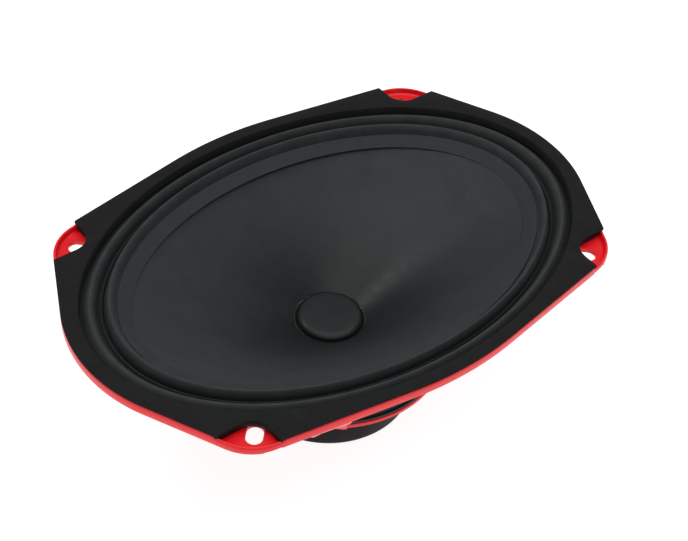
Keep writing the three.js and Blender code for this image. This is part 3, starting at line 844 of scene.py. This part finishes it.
def cut_nick(casting, sx, sy):
    """A short nick in the lower edge of the rim."""
    slope = QUARTER - SIDE_TANGENT
    face = math.sin(SIDE_TANGENT) * (HALF_WIDTH - SIDE_RADIUS) + SIDE_RADIUS + RIM_PROUD
    half, deep = NICK_LENGTH / 2, 1.1
    depths = sorted([sy * (face - deep), sy * (face + 2)])
    span = (sx * NICK_X - half, sx * NICK_X + half)
    points, faces = box_points(span, depths, (RIM_LOW - 1, RIM_LOW + deep))
    cut(casting, (turned_about_z(points, -sx * sy * slope), faces))


def bowl_station(rise, offset, angle):
    """The bowl bulges more at its long ends than at its sides."""
    quarter = math.degrees(math.atan2(abs(math.sin(angle)), abs(math.cos(angle))))
    power = min(1.5, max(0.9, 1.2 + 0.043 * (quarter - ARM_ANGLES[1])))
    bulge = math.sin(rise * QUARTER) ** power
    height = FLOOR_BACK + (FLANGE_BACK + 1 - FLOOR_BACK) * rise
    a, b = (FLOOR_RADIUS + (top - FLOOR_RADIUS) * bulge + offset for top in BOWL_TOP)
    return a, b, height


def on_bowl(angle, rise, across, offset):
    """The bowl's surface point at a distance across the arm's middle line."""
    a, b, height = bowl_station(rise, offset, angle + math.atan2(across, MEAN_REACH))
    ux, uy = math.cos(angle), math.sin(angle)
    vx, vy = -uy, ux
    qa = (ux / a) ** 2 + (uy / b) ** 2
    qb = 2 * across * (ux * vx / a**2 + uy * vy / b**2)
    qc = across**2 * ((vx / a) ** 2 + (vy / b) ** 2) - 1
    reach = (-qb + math.sqrt(qb * qb - 4 * qa * qc)) / (2 * qa)
    return (reach * ux + across * vx, reach * uy + across * vy, height)


def arm_section(half):
    """Across the arm: raised rails at both sides of a thinner web, all corners eased."""
    rail, ease, sunk = 2.4, 0.8, 0.4
    outside = [
        (-half, -0.7), (-half + ease * 0.3, -0.2), (-half + ease, 0), (-half + rail - 0.4, 0),
        (-half + rail, -0.15), (-half + rail + 0.7, -sunk + 0.15), (-half + rail + 1.2, -sunk),
    ]
    mirrored = [(-x, y) for x, y in reversed(outside)]
    corner = [(half, -ARM_THICKNESS + 0.5), (half - 0.5, -ARM_THICKNESS)]
    return outside + mirrored + corner + [(-x, y) for x, y in reversed(corner)]


def basket_arm(degrees):
    """One arm; it flares where it runs into the floor and into the flange."""
    angle = math.radians(degrees)
    steps, start = 40, 0.003
    top = (FLANGE_BACK + 0.4 - FLOOR_BACK) / (FLANGE_BACK + 1 - FLOOR_BACK)
    rings = []
    for i in range(steps + 1):
        rise = start + (top - start) * (i / steps) ** 1.15
        low_flare = max(0, 1 - rise / 0.12) ** 2 * 0.6
        high_flare = max(0, 1 - (1 - rise) / 0.16) ** 2 * 7
        section = arm_section(ARM_HALF_WIDTH + low_flare + high_flare)
        rings.append([on_bowl(angle, rise, across, offset) for across, offset in section])
    return bare_piece("arm", capped(rings))


def basket_floor():
    bore, edge, low, high = FLOOR_BORE, FLOOR_RADIUS, FLOOR_BACK, FLOOR_TOP
    corners = [(bore, low), (edge - 2, low), (edge, high - 2.1), (edge, high), (bore, high)]
    return bare_piece("basket_floor", turned_ring(rounded(corners, 0.5), 144))


def terminal_lug():
    """The upright plate for the terminals with its window, on the edge of the floor."""
    back = LUG_FRONT - LUG_THICKNESS
    block = box_points((-LUG_HALF_WIDTH, LUG_HALF_WIDTH), (back, LUG_FRONT), (FLOOR_BACK + 0.4, LUG_TOP))
    plate = bare_piece("lug", block)
    window_x = (-WINDOW_HALF_WIDTH, WINDOW_HALF_WIDTH)
    cut(plate, box_points(window_x, (back - 1, LUG_FRONT + 1), (WINDOW_LOW, WINDOW_HIGH)))
    height, bore = (WINDOW_LOW + WINDOW_HIGH) / 2, RIVET_RADIUS + 0.2
    for x in (-RIVET_X, RIVET_X):
        points, faces = turned([(0, -1), (bore, -1), (bore, 6), (0, 6)], 24)
        cut(plate, ([(x + px, LUG_FRONT - 4 + pz, height + py) for px, py, pz in points], faces))
    apply_bevel(plate, 0.6)
    return plate


def screw_places():
    angles = [TURN * (i + 0.5) / 4 for i in range(4)]
    return [(SCREW_CIRCLE * math.cos(a), SCREW_CIRCLE * math.sin(a)) for a in angles]


def make_basket(material):
    casting = tray_flange()
    boolean(casting, basket_floor(), "UNION")
    for degrees in ARM_ANGLES:
        boolean(casting, basket_arm(degrees), "UNION")
    boolean(casting, terminal_lug(), "UNION")
    for sx, sy in SIGNS:
        cut_slot(casting, sx, sy)
        cut_nick(casting, sx, sy)
    low, high, seat = FLOOR_BACK - 1, FLOOR_TOP + 1, FLOOR_TOP - SCREW_HEAD_DEPTH
    hole, sink = 2.3, 4.1
    for place in screw_places():
        profile = [(0, low), (hole, low), (hole, seat), (sink, FLOOR_TOP), (sink, high), (0, high)]
        cut(casting, turned(profile, 32, place))
    finish_piece(casting, "basket_casting", material, "chassis", "basket_red", "basket_frame", 32)


# ---- Gasket ----
def corner_angles():
    """Polar angles at which the notch meets the outline, so that its corners stay sharp."""
    fine = np.linspace(0, QUARTER, 20001)
    inside = notch_radius(fine) < outline_radius(fine, 0)
    edges = np.nonzero(np.diff(inside.astype(int)))[0]
    first = fine[edges]
    return np.concatenate([first, math.pi - first, math.pi + first, TURN - first])


def make_gasket(material):
    corners, beside, count = corner_angles(), 0.0015, 720
    even = TURN * np.arange(count) / count
    gaps = np.abs(even[:, None] - corners[None, :]).min(1)
    angles = np.concatenate([even[gaps > 0.002], corners, corners + beside, corners - beside])
    angles = np.sort(angles)

    def outer(offset, grow, height):
        radii = np.minimum(outline_radius(angles, offset), notch_radius(angles, grow))
        return polar_ring(angles, radii, height)

    inset = RIM_PROUD - LIP_WALL - 0.3
    lap = LIP_TOP + lip_rise(angles) + 0.25
    a, b = GASKET_OPENING
    low = GASKET_LOW[2]
    steps = [
        (inset - 1.3, 0.5, low), (inset, 0.05, low + 1.3), (inset, 0, lap), (LAP - 0.2, 0, lap),
        (LAP, 0, lap + 0.12), (LAP, 0, DEPTH - 0.25), (LAP - 0.08, 0.08, DEPTH - 0.08),
        (LAP - 0.25, 0.25, DEPTH),
    ]
    rings = [outer(*step) for step in steps]
    for grow, height in ((1.15, DEPTH), (0.8, DEPTH - 0.1), (0.6, DEPTH - 0.45), (0, low + 0.4), (0.3, low)):
        rings.append(polar_ring(angles, ellipse_radius(angles, a + grow, b + grow), height))
    mesh_piece("gasket_ring", loft(rings), material, "chassis", "gasket_rubber", "front_gasket", 38)


# ---- Cone, surround, dust cap ----
def cone_height(share):
    return CONE_NECK_Z + (CONE_RIM_Z - CONE_NECK_Z) * share + CONE_BULGE * math.sin(math.pi * share)


def cone_share(half_length):
    return (half_length - NECK_RADIUS) / (CONE_RIM[0] - NECK_RADIUS)


def cone_reach(share):
    return tuple(NECK_RADIUS + (rim - NECK_RADIUS) * share for rim in CONE_RIM)


def sheet(stations, facets):
    """A thin sheet under stations of (a, b, top, thickness)."""
    top = [oval(a, b, z, facets) for a, b, z, _ in stations]
    under = [oval(a, b, z - thickness, facets) for a, b, z, thickness in reversed(stations)]
    return loft(top + under)


def blend_by_weight(piece):
    """Bakes the piece's place into its mesh; no blend between the bodies is set up here."""
    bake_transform(piece)


def ease(share):
    return share * share * (3 - 2 * share)


def make_cone(material):
    count = 60
    shares = [1 - i / count for i in range(count + 1)]
    stations = [(*cone_reach(share), cone_height(share), CONE_WALL) for share in shares]
    mesh_piece("cone_body", sheet(stations, 256), material, "diaphragm", "cone_paper", "cone", 50)


def inner_roll(u):
    """A round roll that stands up from the valley and drops into a narrow groove beside the cone."""
    crest, groove = 0.38, 0.86
    if u < crest:
        return math.sin(QUARTER * u / crest) ** 0.8
    return math.cos(QUARTER * min(1, (u - crest) / (groove - crest))) ** 0.8


def surround_height(share):
    """Height over the seat across the rolls: a round roll, a valley with a thin ridge, a lopsided roll."""
    first, second, valley = 0.44, 0.60, -1.2
    outer_roll, ridge, last_roll = 3.5, 1.2, 4.5
    if share < first:
        u = share / first
        return 0.25 * (1 - u) + valley * u + outer_roll * math.sin(math.pi * u) ** 1.15
    if share < second:
        return valley + ridge * math.sin(math.pi * (share - first) / (second - first)) ** 2
    return valley + last_roll * inner_roll((share - second) / (1 - second))


def between(start, end, share):
    return [a + (b - a) * share for a, b in zip(start, end)]


def surround_stations():
    """The sheet's stations from the clamped edge to the thin lip on the cone, each with its weight."""
    seat = LANDING + SEAT_GAP + CLOTH
    clamped = [edge - SEAT_GAP for edge in LANDING_EDGE]
    stations = [(*between(clamped, ROLL_START, share), seat, CLOTH) for share in (0, 0.5)]
    weights = [0.0, 0.0]
    count, lip_count, landing, thinning = 96, 8, 0.95, 0.9
    end_height = cone_height(cone_share(ROLL_END[0])) + LIP - seat
    for i in range(count + 1):
        share = i / count
        height = surround_height(share)
        if share > landing:
            height += (end_height - height) * math.sin(QUARTER * (share - landing) / (1 - landing))
        thickness = CLOTH + (LIP - GLUE_GAP - CLOTH) * max(0, (share - thinning) / (1 - thinning))
        stations.append((*between(ROLL_START, ROLL_END, share), seat + height, thickness))
        weights.append(ease(share))
    for i in range(1, lip_count + 1):
        share = i / lip_count
        a, b = between(ROLL_END, SURROUND_INNER, share)
        rise = LIP + (LIP_END - LIP) * share
        stations.append((a, b, cone_height(cone_share(a)) + rise, rise - GLUE_GAP))
        weights.append(1.0)
    return stations, weights


def make_surround(material):
    facets = 320
    stations, weights = surround_stations()
    shape = sheet(stations, facets)
    piece = mesh_piece("surround_cloth_roll", shape, material, None, "surround_cloth", "surround", 60)
    blend_by_weight(piece)


def make_dust_cap(plastic):
    edge, inner = CAP_RADIUS - 0.3, CAP_RADIUS - 0.6
    shape = [
        (edge, -0.3), (edge, 0.3), (edge - 0.12, 0.7), (edge - 0.42, 1.1), (edge - 0.9, 1.5),
        (edge - 1.5, 1.82), (edge - 2.15, 2.05), (edge - 2.8, 2.17),
        (9.5, 2.28), (6.5, 2.38), (3.2, 2.46), (0, 2.48),
    ]
    outside = [(r, CAP_LOW + z) for r, z in shape]
    inside = [(max(r - 0.5, 0), z - 0.5) for r, z in reversed(outside[3:])]
    inside += [(inner, CAP_LOW + 0.1), (inner, CAP_LOW - 0.3)]
    shape = turned(outside + inside + outside[:1], 128)
    mesh_piece("dust_cap_dome", shape, plastic, "diaphragm", "cap_plastic", "dust_cap", 50)


def make_cap_glue(glue):
    """An uneven bead of glue in the corner between the cap and the cone."""
    rng = np.random.default_rng(7)
    facets, inner = 192, CAP_RADIUS - 0.7
    angles = TURN * np.arange(facets) / facets
    wobble = np.zeros(facets)
    for order in range(3, 16):
        wobble += rng.normal(0, 0.05) * np.cos(order * angles + rng.uniform(0, TURN))
    far, near = cone_share(CAP_RADIUS + 0.9), cone_share(CAP_RADIUS - 0.6)
    outer = ellipse_radius(angles, *cone_reach(far)) + wobble
    lift, foot = cone_height(far), cone_height(near)
    steps = [(0, -0.35), (0, 0.30), (0.35, 0.34), (0.7, 0.28), (1, 0.10), (1, -0.35)]
    rings = []
    for share, proud in steps:
        radii = inner + (outer - inner) * share
        rings.append(polar_ring(angles, radii, foot + (lift - foot) * share + proud))
    mesh_piece("dust_cap_glue", loft(rings), glue, "diaphragm", "cap_plastic", None, 60)


# ---- Voice coil, spider, motor ----
def make_former(foil):
    low, high, radius = round_limits("voice_coil_former")
    profile = washer(radius - 0.2, radius, low, high, 0.05)
    shape = turned_ring(profile)
    mesh_piece("coil_former_tube", shape, foil, "diaphragm", "former_foil", "voice_coil_former")


def make_winding(wire):
    """Turns of round wire, seen as beads on the outside of the coil."""
    low, high, reach = round_limits("voice_coil_winding")
    inner = FORMER_RADIUS + 0.05
    turns, steps, bead = 26, 6, 0.16
    pitch = (high - low) / turns
    profile = [(inner, low)]
    for i in range(turns):
        for k in range(steps):
            share = (k + 0.5) / steps
            profile.append((reach - bead + bead * math.sin(math.pi * share), low + pitch * (i + share)))
    profile.append((inner, high))
    node = "voice_coil_winding"
    mesh_piece("coil_winding_turns", turned_ring(profile), wire, "diaphragm", "coil_copper", node, 80)


def make_spider_ring(plastic):
    """The ring with a wider black foot that is cut flat behind the lug; the foot covers the floor's red top
    and stands in for the shade inside the basket windows.
    """
    low, high, reach = round_limits("spider_ring")
    foot, shade_foot_reach = low + 1.2, FLOOR_RADIUS - 0.1
    section = [(RING_BORE, low), (shade_foot_reach, low), (shade_foot_reach, foot), (reach, foot), (reach, high), (RING_BORE, high)]
    points, faces = turned_ring(rounded(section, 0.5), 144)
    flat = LUG_FRONT - LUG_THICKNESS - 0.3
    points = [(x, min(y, flat), z) for x, y, z in points]
    mesh_piece("spider_support_ring", (points, faces), plastic, "chassis", "ring_plastic", "spider_ring")


def make_spider(cloth):
    inner = NECK_RADIUS
    roll_outer, roll_inner = SPIDER_ROLLS
    outer = round_limits("spider")[2]
    seat = SPIDER_SEAT + SEAT_GAP
    thickness, amplitude, rolls, facets = 0.6, 1.1, 4, 128
    rims = [(outer, seat, 0.0), (roll_outer + 0.6, seat, 0.0)]
    steps = 16 * rolls
    for i in range(steps + 1):
        share = i / steps
        radius = roll_outer + (roll_inner - roll_outer) * share
        ramp = min(1, 8 * share, 8 * (1 - share))
        height = seat + amplitude / 2 + ramp * amplitude * 0.75 * math.sin(TURN * rolls * share)
        rims.append((radius, height - (1 - ramp) * amplitude / 2, ease(share)))
    rims += [(inner + 1.2, seat, 1.0), (inner + 0.05, seat + 0.1, 1.0)]
    shape = sheet([(r, r, z + thickness, thickness) for r, z, _ in rims], facets)
    piece = mesh_piece("spider_corrugated", shape, cloth, None, "spider_cloth", "spider", 70)
    blend_by_weight(piece)


def make_motor(steel, magnet):
    rings = [
        ("motor_top_plate", PLATE_BORE, 0.5, steel, "plate_steel", "top_plate"),
        ("motor_magnet", MAGNET_BORE, 0.9, magnet, "magnet_ferrite", "ferrite_magnet"),
    ]
    for name, bore, edge, material, slot, node in rings:
        low, high, radius = round_limits(node)
        shape = turned_ring(washer(bore, radius, low, high, edge), 128)
        mesh_piece(name, shape, material, "chassis", slot, node)
    low, high, _ = round_limits("pole_yoke")
    step = MAGNET_LOW - SEAT_GAP
    section = [
        (VENT_RADIUS + 3, low), (YOKE_RADIUS, low), (YOKE_RADIUS, step), (POLE_RADIUS, step),
        (POLE_RADIUS, high), (VENT_RADIUS, high), (VENT_RADIUS, step),
    ]
    shape = turned_ring(rounded(section, 0.6), 128)
    mesh_piece("motor_pole_yoke", shape, steel, "chassis", "plate_steel", "pole_yoke")


def make_boot(rubber):
    """The boot grips the motor: a thin wall with a soft upper bead, and a base with a vent."""
    _, top, radius = round_limits("magnet_boot")
    wall, vent = 1.5, 9
    inner = radius - 1.4
    profile = [
        (vent, 0.25), (vent + 0.25, 0), (28, 0), (28.4, 0.25), (29.6, 0.25), (30, 0), (radius - 2.6, 0),
        (radius - 1.6, 0.2), (radius - 0.76, 0.76), (radius - 0.2, 1.6), (radius, 2.6), (radius, top - 0.7),
        (radius - 0.12, top - 0.3), (radius - 0.4, top), (inner + 0.3, top), (inner, top - 0.3),
        (inner, wall + 0.3), (inner - 0.4, wall), (vent + 0.25, wall), (vent, wall - 0.25),
    ]
    shape = turned_ring(profile, 160)
    mesh_piece("motor_boot", shape, rubber, "chassis", "boot_rubber", "magnet_boot")


def make_vent_screen(black):
    """A disc pierced by rings of small holes."""
    low, high, radius = round_limits("pole_vent_screen")
    section = rounded([(0.001, low), (radius, low), (radius, high), (0.001, high)], 0.15)
    disc = bare_piece("vent_disc", turned([(0, low), *section[4:12], (0, high)], 64))
    bore = 0.75
    for count, circle in ((1, 0), (6, 2.4), (12, 4.8), (16, 7.0)):
        for i in range(count):
            angle = TURN * i / count
            centre = (circle * math.cos(angle), circle * math.sin(angle))
            cut(disc, turned([(0, low - 1), (bore, low - 1), (bore, high + 1), (0, high + 1)], 16, centre))
    finish_piece(disc, "motor_vent_screen", black, "chassis", "screen_steel", "pole_vent_screen")


def make_screws(black):
    """Countersunk screws with a cross recess."""
    shank, seat, arm = 2, FLOOR_TOP - SCREW_HEAD_DEPTH, 0.45
    for i, place in enumerate(screw_places()):
        node = f"basket_screw_{i + 1}"
        low = limits(node)[0][2]
        profile = [
            (0, low), (shank - 0.3, low), (shank, low + 0.4), (shank, seat),
            (SCREW_HEAD, FLOOR_TOP - 0.12), (SCREW_HEAD - 0.05, FLOOR_TOP), (0, FLOOR_TOP),
        ]
        screw = bare_piece("screw", turned(profile, 40, place))
        for turn in (0, QUARTER):
            points, faces = box_points((-2, 2), (-arm, arm), (FLOOR_TOP - 1.3, FLOOR_TOP + 1))
            cut(screw, (turned_about_z(points, turn + 0.5 * i, place), faces))
        finish_piece(screw, f"casting_screw_{i + 1}", black, "chassis", "screw_steel", node, 35)


# ---- Terminals and leads ----
def middle(low, high):
    return (low + high) / 2


def make_board(resin):
    low, high = BOARD_LOW, BOARD_HIGH
    board = bare_piece("board", box_points(*zip(low, high)))
    for pole, _ in POLES:
        blade_low, blade_high = limits(f"terminal_{pole}")
        x = (blade_low[0] - 0.2, blade_high[0] + 0.2)
        z = (blade_low[2] - 0.15, blade_high[2] + 0.15)
        cut(board, box_points(x, (low[1] - 1, high[1] + 1), z))
    apply_bevel(board, 0.25)
    finish_piece(board, "terminal_board_plate", resin, "chassis", "board_resin", "terminal_board", 35)


def make_blades(metal):
    for pole, _ in POLES:
        make_blade(metal, pole)


def make_blade(metal, pole):
    """A push-on blade with coined edges and its locating hole."""
    node = f"terminal_{pole}"
    low, high = limits(node)
    x, _, z = middle(low, high)
    half = (high[0] - low[0]) / 2
    tip, tail = high[1], low[1]
    neck = LUG_FRONT - LUG_THICKNESS
    coin, bore = 0.2, 0.8
    side = [(1.5, tail), (1.5, neck), (half, neck + 1), (half, tip - 1.2), (half - 1.2, tip)]
    outline = side + [(-px, py) for px, py in reversed(side)]
    rings = []
    for inset, height in ((coin, low[2]), (0, low[2] + coin), (0, high[2] - coin), (coin, high[2])):
        ring = []
        for px, py in outline:
            shrink = 1 - inset / max(abs(px), 1)
            ring.append((x + px * shrink, min(py, tip - inset) if py > neck else py, height))
        rings.append(ring)
    blade = bare_piece("blade", capped(rings))
    cut(blade, turned([(0, z - 2), (bore, z - 2), (bore, z + 2), (0, z + 2)], 24, (x, tip - 3.6)))
    finish_piece(blade, f"blade_{pole}", metal, "chassis", "terminal_brass", node, 35)


def make_rivets(nickel):
    for side in ("left", "right"):
        make_rivet(nickel, side)


def make_rivet(nickel, side):
    """A hollow rivet with a rolled head, its axis along Y."""
    node = f"board_rivet_{side}"
    low, high = limits(node)
    x, _, z = middle(low, high)
    front, back = BOARD_HIGH[1] + 0.05, LUG_FRONT - LUG_THICKNESS - 0.05
    head = high[1] - front
    profile = [
        (0.8, back - 0.6), (1.1, back - 0.8), (2.3, back - 0.55), (2.6, back - 0.2), (2.5, back),
        (1.5, back), (1.5, front), (2.7, front), (2.85, front + 0.25), (2.4, front + 0.75 * head),
        (1.5, front + head), (0.95, front + 0.85 * head), (0.8, front + 0.4 * head),
    ]
    points, faces = turned_ring(profile, 40)
    points = [(x + px, pz, z + py) for px, py, pz in points]
    mesh_piece(f"rivet_{side}", (points, faces), nickel, "chassis", "rivet_steel", node, 45)


def tube(path, radius, facets=12):
    """A tube along points, closed by domed ends."""
    path = [Vector(p) for p in path]
    rings = []
    normal = Vector((1, 0, 0))
    for i, here in enumerate(path):
        along = (path[min(i + 1, len(path) - 1)] - path[max(i - 1, 0)]).normalized()
        normal = (normal - along * normal.dot(along)).normalized()
        other = along.cross(normal)
        angles = [TURN * k / facets for k in range(facets)]
        spokes = [math.cos(a) * normal + math.sin(a) * other for a in angles]
        rings.append([tuple(here + radius * spoke) for spoke in spokes])
    points, faces = loft(rings, closed=False)
    points += [tuple(path[0]), tuple(path[-1])]
    last = (len(path) - 1) * facets
    for k in range(facets):
        j = (k + 1) % facets
        faces.append((len(points) - 2, j, k))
        faces.append((len(points) - 1, last + k, last + j))
    return points, faces


def smooth_path(knots, steps=12):
    """A Catmull-Rom curve through the knots."""
    knots = [np.array(k, float) for k in knots]
    padded = [2 * knots[0] - knots[1], *knots, 2 * knots[-1] - knots[-2]]
    out = []
    for i in range(1, len(padded) - 2):
        p0, p1, p2, p3 = padded[i - 1 : i + 3]
        for k in range(steps):
            t = k / steps
            bend, twist = 2 * p0 - 5 * p1 + 4 * p2 - p3, 3 * p1 - p0 - 3 * p2 + p3
            out.append(0.5 * (2 * p1 + (p2 - p0) * t + bend * t**2 + twist * t**3))
    return [*out, knots[-1]]


def make_solder(metal, pole):
    """A blob of solder on the back of the cone."""
    node = f"lead_solder_{pole}"
    low, high = limits(node)
    centre, radius = middle(low, high), (high[0] - low[0]) / 2
    profile = [
        (0, -1), (0.5, -0.86), (0.86, -0.5), (1, 0), (0.9, 0.35), (0.7, 0.62), (0.62, 0.95), (0.5, 1), (0, 1),
    ]
    points, faces = turned([(radius * r, radius * z) for r, z in profile], 32)
    points = [centre + point for point in points]
    mesh_piece(f"solder_joint_{pole}", (points, faces), metal, "diaphragm", "solder", node, 60)


def make_lead(metal, pole, side):
    """A tinsel lead from the blade's tail to the solder joint on the back of the cone."""
    low, high = limits(f"lead_solder_{pole}")
    centre, radius = middle(low, high), (high[0] - low[0]) / 2
    blade_low, blade_high = limits(f"terminal_{pole}")
    x, _, z = middle(blade_low, blade_high)
    start, swing = blade_low[1] - 0.1, side * 1.5
    knots = [
        (x, start, z), (x, start - 3, z + 0.4), (x + swing, start - 7, z + 3.4),
        (x + swing, start - 10.5, z + 4.2), (centre[0], centre[1] + radius * 0.9, centre[2] - radius * 0.5),
    ]
    shape = tube(smooth_path(knots), 0.75)
    piece = mesh_piece(f"lead_{pole}", shape, metal, None, "lead_tinsel", f"lead_wire_{pole}", 60)
    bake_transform(piece)


def make_leads(metal, joint):
    for pole, side in POLES:
        make_solder(joint, pole)
        make_lead(metal, pole, side)


def make_floor(material):
    reach = FLOOR_REACH
    corners = [(-reach, -reach, 0), (reach, -reach, 0), (reach, reach, 0), (-reach, reach, 0)]
    mesh_piece("floor", (corners, [(0, 1, 2, 3)]), material)


make_camera()
make_studio()
make_floor(pale_floor())
make_basket(powder_red())
make_gasket(gasket_rubber())
make_surround(surround_cloth())
make_cone(cone_paper())
make_dust_cap(cap_plastic())
make_cap_glue(black_glue())
make_former(aluminium_foil())
make_winding(copper_wire())
make_spider_ring(black_plastic())
make_spider(spider_cloth())
make_motor(zinc_steel(), ferrite())
make_boot(boot_rubber())
make_vent_screen(black_steel())
make_screws(black_steel())
make_board(board_resin())
make_blades(brass())
make_rivets(bright_nickel())
make_leads(tinsel(), solder())
